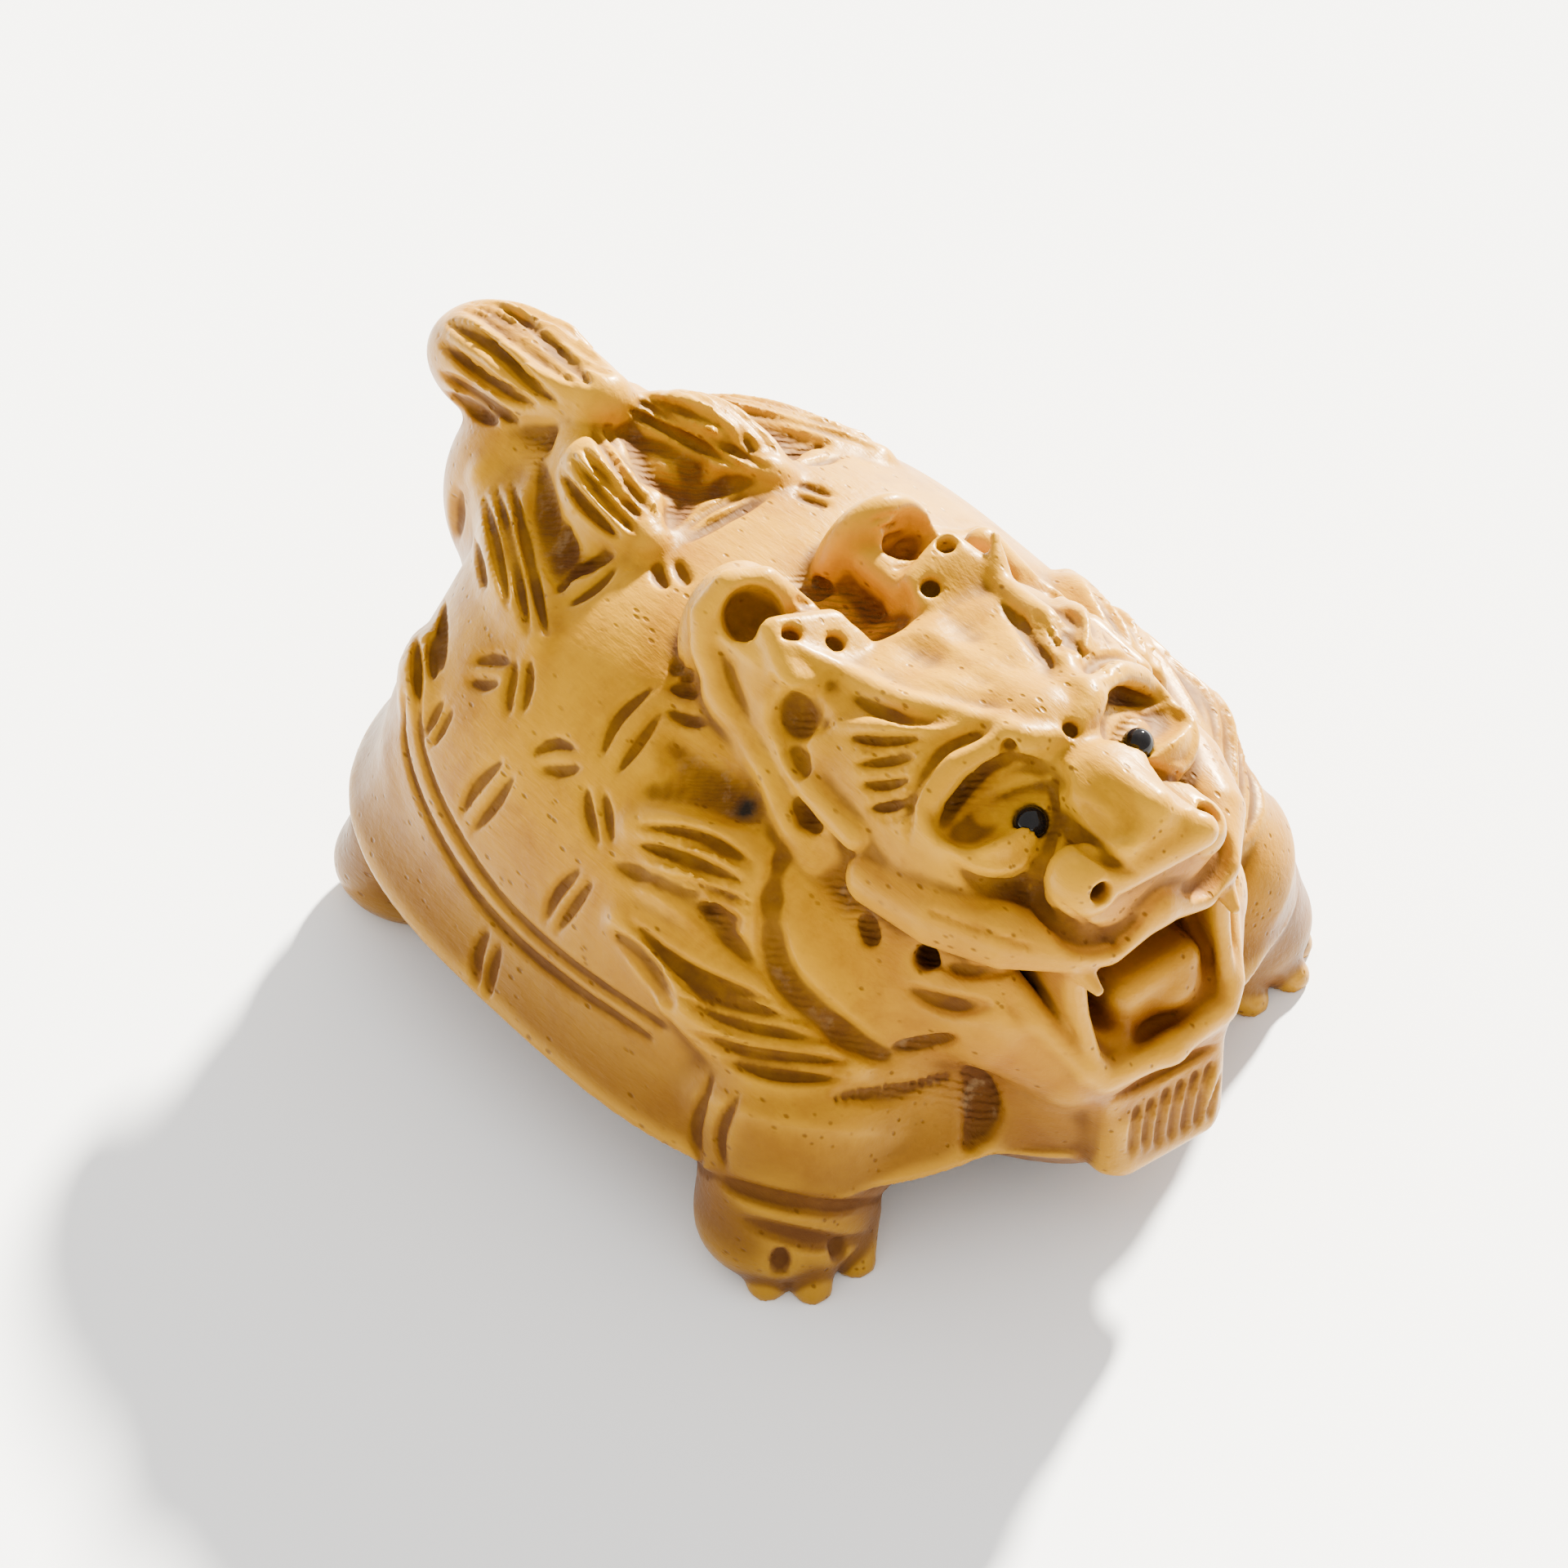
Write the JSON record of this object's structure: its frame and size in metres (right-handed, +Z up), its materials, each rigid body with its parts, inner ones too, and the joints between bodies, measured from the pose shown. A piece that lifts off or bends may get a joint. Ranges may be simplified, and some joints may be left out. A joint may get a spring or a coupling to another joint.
{
  "type": "dragon turtle netsuke",
  "caption": "Carved boxwood toggle of a crouching turtle with a horned, open-mouthed dragon head, a tufted tail, a seamed shell and inlaid black bead eyes.",
  "frame": {"origin": "middle of the whole model's box in plan, on the surface that the four feet stand on", "axes": "+Z up, -Y the way the head faces, +Y towards the tail, +X the animal's left side"},
  "size_m": [0.0382, 0.056, 0.0276],
  "materials": {
    "boxwood": "hand-polished satin boxwood, honey yellow, browner in the cuts",
    "black_bead": "polished glossy black bead"
  },
  "bodies": {
    "root": {"turtle_carving": "boxwood", "left_eye_bead": "black_bead", "right_eye_bead": "black_bead"}
  },
  "joints": []
}
